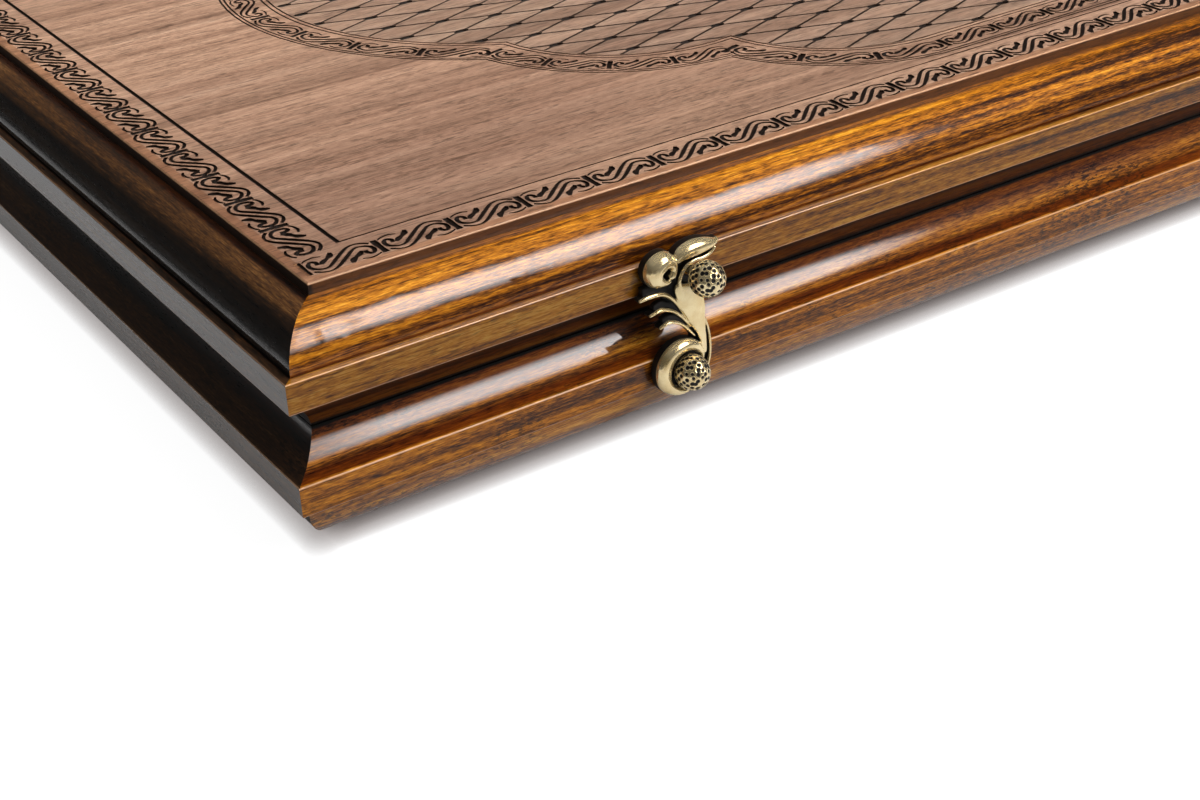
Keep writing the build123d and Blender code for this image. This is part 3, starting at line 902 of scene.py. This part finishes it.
def blade_mesh(shape, points, shoulder, crown):
    """Adds one blade: flat at the back, upright at the sides, domed in front, tapered along its path."""
    path = smooth_path(points, 8)
    heading = np.gradient(path[:, :2], axis=0)
    heading /= np.linalg.norm(heading, axis=1)[:, None]
    widest = max(point[2] for point in points)
    dome = np.linspace(0, math.pi, 9)
    rows = []
    for (across, up, half_width), (along_x, along_z) in zip(path, heading):
        lift = crown * math.sqrt(half_width / widest)
        section = [(-half_width, 0.0)]
        section += [(-half_width * math.cos(turn), shoulder + lift * math.sin(turn)) for turn in dome]
        section += [(half_width, 0.0)]
        rows.append(
            [
                shape.verts.new((across - aside * along_z, -out, up + aside * along_x))
                for aside, out in section
            ]
        )
    for before, after in zip(rows, rows[1:]):
        for step in range(len(before)):
            turn = (step + 1) % len(before)
            shape.faces.new((before[step], before[turn], after[turn], after[step]))
    shape.faces.new(rows[0][::-1])
    shape.faces.new(rows[-1])


def occlusion(mesh, reach, rays=24):
    """How closed in each vertex is, from 0 on open ground to 1 deep in a recess."""
    tree = BVHTree.FromPolygons([v.co for v in mesh.vertices], [p.vertices for p in mesh.polygons])
    golden = math.pi * (3 - math.sqrt(5))
    local = []
    for number in range(rays):
        lift = math.sqrt(1 - (number + 0.5) / rays)
        spread = math.sqrt(1 - lift**2)
        turn = number * golden
        local.append(Vector((spread * math.cos(turn), spread * math.sin(turn), lift)))
    closed = np.zeros(len(mesh.vertices))
    for number, vertex in enumerate(mesh.vertices):
        facing = vertex.normal.to_track_quat("Z", "Y")
        start = vertex.co + vertex.normal * reach * 0.02
        hits = sum(1 for ray in local if tree.ray_cast(start, facing @ ray, reach)[0])
        closed[number] = hits / rays
    return closed


def store_patina(mesh, values):
    """Keeps the recesses' darkness on the mesh, for its material."""
    layer = mesh.attributes.new("patina", "FLOAT", "POINT")
    layer.data.foreach_set("value", np.clip(values, 0, 1).astype(np.float32))


def cast_hook():
    """The hook's casting about its pivot, as one closed mesh in millimetres."""
    shape = bmesh.new()
    for points, shoulder, crown in blades:
        blade_mesh(shape, points, shoulder, crown)
    bmesh.ops.recalc_face_normals(shape, faces=shape.faces)
    rough = bpy.data.meshes.new("hook_blades")
    shape.to_mesh(rough)
    shape.free()
    carrier = add_object("hook_blades", rough)
    fuse = carrier.modifiers.new("fuse", "REMESH")
    fuse.mode = "VOXEL"
    fuse.voxel_size = hook_voxel
    soften = carrier.modifiers.new("soften", "SMOOTH")
    soften.factor = 0.5
    soften.iterations = 3
    bpy.context.view_layer.update()
    graph = bpy.context.evaluated_depsgraph_get()
    mesh = bpy.data.meshes.new_from_object(carrier.evaluated_get(graph))
    bpy.data.objects.remove(carrier)
    return mesh


def antique_brass():
    """Pale cast brass, rubbed bright on the heights and left black in the recesses."""
    finish = Finish("antique_brass")
    recess = finish.node("ShaderNodeAttribute", {"attribute_name": "patina"}, output="Fac")
    smoke = finish.noise(finish.place(), scale=260.0, detail=4.0, roughness=0.6)
    sand = finish.noise(finish.place(), scale=2600.0)
    dark = (recess + (smoke - 0.5) * 0.25).above(0.5, 0.3)
    warm = finish.blend(rgb(244, 226, 180), rgb(212, 184, 124), smoke.above(0.6, 0.4))
    colour = finish.blend(warm, rgb(15, 12, 9), dark)
    finish.feed(
        Base_Color=colour,
        Metallic=0.8 - dark * 0.4,
        Roughness=0.15 + smoke * 0.1 + dark * 0.35,
        Normal=finish.bump(sand, 0.006),
    )
    return finish.material


# Recesses this wide stay black, and so does the low ground that no polishing cloth reaches
recess_reach = 2.2
low_ground = 2.05
ground_fade = 0.5

brass = antique_brass()
hook_mesh = cast_hook()
hook_places = np.empty(len(hook_mesh.vertices) * 3)
hook_mesh.vertices.foreach_get("co", hook_places)
hook_rise = -hook_places[1::3]
on_ground = np.clip((low_ground - hook_rise) / ground_fade, 0, 1)
store_patina(hook_mesh, occlusion(hook_mesh, recess_reach) * 1.1 + on_ground * 0.8)
hook_mesh.materials.append(brass)
for polygon in hook_mesh.polygons:
    polygon.use_smooth = True


def place_latch_part(mesh, name, shift, body, node):
    """Puts a latch part, made in millimetres about its own middle, in its place on the board."""
    placed = mesh.copy()
    placed.transform(Matrix.Scale(millimetre, 4) @ Matrix.Translation(shift))
    piece = add_object(name, placed)
    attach(piece, body)
    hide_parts(node)


for end, spacing in (("left", 0.0), ("right", latch_spacing)):
    shift = Vector((pivot_x + spacing, hook_back, pivot_z))
    place_latch_part(hook_mesh, f"{end}_cast_hook", shift, f"{end}_hook", f"{end}_latch_hook")


# Ball studs
# Turned brass balls on screwed shanks. Each ball is cast with a skin of small round dimples, which
# hold the black patina while their rims are rubbed bright.
dimple_count = 130
dimple_radius = 0.56
dimple_depth = 0.2
dimple_scatter = 0.035
shank_radius = 1.0
pivot_flat = 1.3
catch_flat = 0.3


def dimpled_ball(stand, flat_stand, shank_length):
    """Ball and shank along -Y, in millimetres, with the board's band at 0 and the ball's back cut flat."""
    golden = math.pi * (3 - math.sqrt(5))
    steps = np.arange(dimple_count)
    height = 1 - 2 * (steps + 0.5) / dimple_count
    ring = np.sqrt(1 - height**2)
    centres = np.column_stack([ring * np.cos(steps * golden), height, ring * np.sin(steps * golden)])
    chance = np.random.default_rng(7)
    centres += chance.normal(0, dimple_scatter, centres.shape)
    centres /= np.linalg.norm(centres, axis=1)[:, None]
    radii = dimple_radius * chance.uniform(0.72, 1.15, dimple_count)
    shape = bmesh.new()
    bmesh.ops.create_icosphere(shape, subdivisions=6, radius=1.0)
    places = np.array([vertex.co for vertex in shape.verts])
    gaps = np.arccos(np.clip(places @ centres.T, -1, 1)) * ball_radius / radii
    sunk = np.clip(1 - gaps.min(axis=1) ** 2, 0, 1)
    reach = ball_radius - dimple_depth * sunk
    for vertex, distance, direction in zip(shape.verts, reach, places):
        x, y, z = direction * distance
        vertex.co = (x, min(y - stand, -flat_stand), z)
    bmesh.ops.create_cone(
        shape,
        cap_ends=True,
        segments=32,
        radius1=shank_radius,
        radius2=shank_radius,
        depth=shank_length + stand,
        matrix=Matrix.Translation((0, (shank_length - stand) / 2, 0)) @ Matrix.Rotation(math.pi / 2, 4, "X"),
    )
    mesh = bpy.data.meshes.new("dimpled_ball")
    shape.to_mesh(mesh)
    shape.free()
    patina = np.full(len(mesh.vertices), 0.2)
    patina[: len(sunk)] = 0.1 + 0.85 * np.sqrt(sunk)
    store_patina(mesh, patina)
    mesh.materials.append(brass)
    for polygon in mesh.polygons:
        polygon.use_smooth = len(polygon.vertices) == 3
    return mesh


for kind, body in (("pivot", "lower_half"), ("catch", "upper_half")):
    low, high = node_box(f"left_latch_{kind}_stud")
    stand = front_face - low.y - ball_radius
    flat_stand = pivot_flat if kind == "pivot" else stand - ball_radius + catch_flat
    ball = dimpled_ball(stand, flat_stand, high.y - front_face)
    for end in ("left", "right"):
        node = f"{end}_latch_{kind}_stud"
        low, high = node_box(node)
        shift = Vector(((low.x + high.x) / 2, front_face, (low.z + high.z) / 2))
        place_latch_part(ball, f"{end}_dimpled_{kind}_stud", shift, body, node)


# Checkers
# Fifteen pale and fifteen dark turned wooden checkers, with a groove in both faces, lacquered.
for name, tones in (("light_checkers", maple_tones), ("dark_checkers", walnut_tones)):
    turned = wood(f"turned_{name}", "y", tones, seed=8.0 + len(name), flecks=0.35, **satin_lacquer)
    nodes[name].data.materials[0] = turned.material


# Dice
# Two ivory coloured dice with black dished pips.
die_half = 6.0
pip_reach = 4.35
pip_level = 0.06
die_low, die_high = node_box("dice")
die_pitch = (die_high.x - die_low.x) - 2 * die_half
ivory = Finish("ivory_dice", Roughness=0.25, Coat_Weight=0.5, Coat_Roughness=0.1)
die_x, die_y, die_z = ivory.axes(ivory.place())
middle = (die_low + die_high) / 2
reach_x = abs(abs(die_x - middle.x) - die_pitch / 2)
reach_y = abs(die_y - middle.y)
reach_z = abs(die_z - middle.z)
largest = reach_x.math("MAXIMUM", reach_y).math("MAXIMUM", reach_z)
smallest = reach_x.math("MINIMUM", reach_y).math("MINIMUM", reach_z)
between = reach_x + reach_y + reach_z - largest - smallest
pip = (die_half - largest).above(pip_level, pip_level) * (pip_reach - between).above(0.0, 0.05)
veins = ivory.noise(stretched(ivory, "z", length=4.0, seed=2.0), scale=400.0, detail=3.0)
shell = ivory.blend(rgb(236, 226, 204), rgb(222, 206, 176), veins)
ivory.feed(Base_Color=ivory.blend(shell, rgb(16, 15, 14), pip))
nodes["dice"].data.materials[0] = ivory.material


# Floor and light
# A white floor under the board, and one soft box in front to the right, which draws the long
# highlights on the mouldings. The lacquer reflects a dark room with a pale ceiling, and the lit
# floor close to the board; the white background is for the camera only.
def light_path(finish, name):
    """1 for the rays of one kind, 0 for all others."""
    return finish.node("ShaderNodeLightPath", output=name)


def stage_plane(name, half_x, half_y):
    """A flat sheet about its own middle that belongs to the studio."""
    mesh = bpy.data.meshes.new(name)
    corners = [(-half_x, -half_y, 0), (half_x, -half_y, 0), (half_x, half_y, 0), (-half_x, half_y, 0)]
    mesh.from_pydata(corners, [], [(0, 1, 2, 3)])
    sheet = add_object(name, mesh)
    return sheet


def shown_as(finish, shader, output="Material Output"):
    """Makes a shader what the surface, or the world, shows."""
    finish.tree.links.new(shader.socket, finish.tree.nodes[output].inputs["Surface"])


white = (1.0, 1.0, 1.0, 1.0)
floor_half = 6.0
floor = stage_plane("floor", floor_half, floor_half)
paper = Finish("floor_paper")
sheet_x, sheet_y, _ = paper.axes(paper.place())

# The contact shadow, deeper beside the board's left end than in front
contact_reach = 0.0045
beside = below(sheet_x, -side_face, 16.0)
contact = contact_reach * (1 + beside * 0.6)
open_sky = paper.node("ShaderNodeAmbientOcclusion", {"samples": 12}, {"Distance": contact}, "AO")
glow = open_sky.math("POWER", 1.0 + beside * 1.6) * 0.97

# What each kind of ray finds there: reflections show only the strips left and in front lit
bounce = light_path(paper, "Is Diffuse Ray")
shown = light_path(paper, "Is Camera Ray").math("MAXIMUM", light_path(paper, "Is Transmission Ray"))
reflected = 1 - shown.math("MAXIMUM", bounce)
left_sheet = beside * sheet_x.above(-355.0, 90.0)
front_sheet = (1 - beside) * sheet_y.above(-270.0, 160.0)
flagged = 0.04 + left_sheet * 0.9 + front_sheet * 0.6
grey = shown * 0.1 + bounce * 0.16 + reflected * flagged
paper_matte = paper.node("ShaderNodeBsdfDiffuse", inputs={"Color": grey})
# The glow turns warm grey in the painted contact shadow
shadow_tinted_white = paper.blend((0.72, 0.6, 0.57, 1.0), white, open_sky)
paper_glow = paper.node("ShaderNodeEmission", inputs={"Color": shadow_tinted_white, "Strength": glow * shown})
shown_as(paper, paper.node("ShaderNodeAddShader", inputs={0: paper_matte, 1: paper_glow}))
floor.data.materials.append(paper.material)

# The room: black with a pale ceiling in reflections, a soft fill from the right for matt surfaces
world = bpy.data.worlds.new("studio")
bpy.context.scene.world = world
room = Finish("studio", world)
direction = room.node("ShaderNodeTexCoord", output="Generated")
east = room.node("ShaderNodeSeparateXYZ", inputs={0: direction}, output=0)
rise = room.node("ShaderNodeSeparateXYZ", inputs={0: direction}, output=2)
glossy_light = 0.03 + rise.above(0.75, 0.2) * 0.12
fill_light = 0.09 + east.above(0.1, 1.5) * 0.24
is_glossy = light_path(room, "Is Glossy Ray")
is_diffuse = light_path(room, "Is Diffuse Ray")
strength = is_glossy * glossy_light + is_diffuse * fill_light + (1 - is_glossy) * (1 - is_diffuse)
sky = room.node("ShaderNodeBackground", inputs={"Color": white, "Strength": strength})
shown_as(room, sky, "World Output")

# The soft box, which fades towards its edges and is hidden from the camera
box_place = Vector((0.295, -0.816, 0.655))
box_tilt = math.radians(-135)
box_half = (0.3, 0.46)
box_fade = (100.0, 280.0)
box_radiance = 11.5
soft_box = stage_plane("soft_box", *box_half)
soft_box.matrix_world = Matrix.Translation(box_place) @ Matrix.Rotation(box_tilt, 4, "X")
soft_box.visible_camera = False
cloth = Finish("soft_box_cloth")
cloth_x, cloth_y, _ = cloth.axes(cloth.place())
lit_x, lit_y = (
    (half_side / millimetre - abs(axis)).above(fade / 2, fade)
    for half_side, axis, fade in zip(box_half, (cloth_x, cloth_y), box_fade)
)
cloth_colour = (1.0, 0.95, 0.93, 1.0)
inputs = {"Color": cloth_colour, "Strength": lit_x * lit_y * box_radiance}
shown_as(cloth, cloth.node("ShaderNodeEmission", inputs=inputs))
soft_box.data.materials.append(cloth.material)

# Overhead light, bounced off the ceiling, so it shows in no reflection
bounced = bpy.data.lights.new("ceiling_bounce", "AREA")
bounced.shape = "SQUARE"
bounced.size = 1.2
bounced.energy = 19.0
bounced_lamp = add_object("ceiling_bounce", bounced)
bounced_lamp.location = (0.25, -0.35, 1.3)
bounced_lamp.rotation_euler = (math.radians(-15), math.radians(10), 0)
bounced_lamp.visible_glossy = False
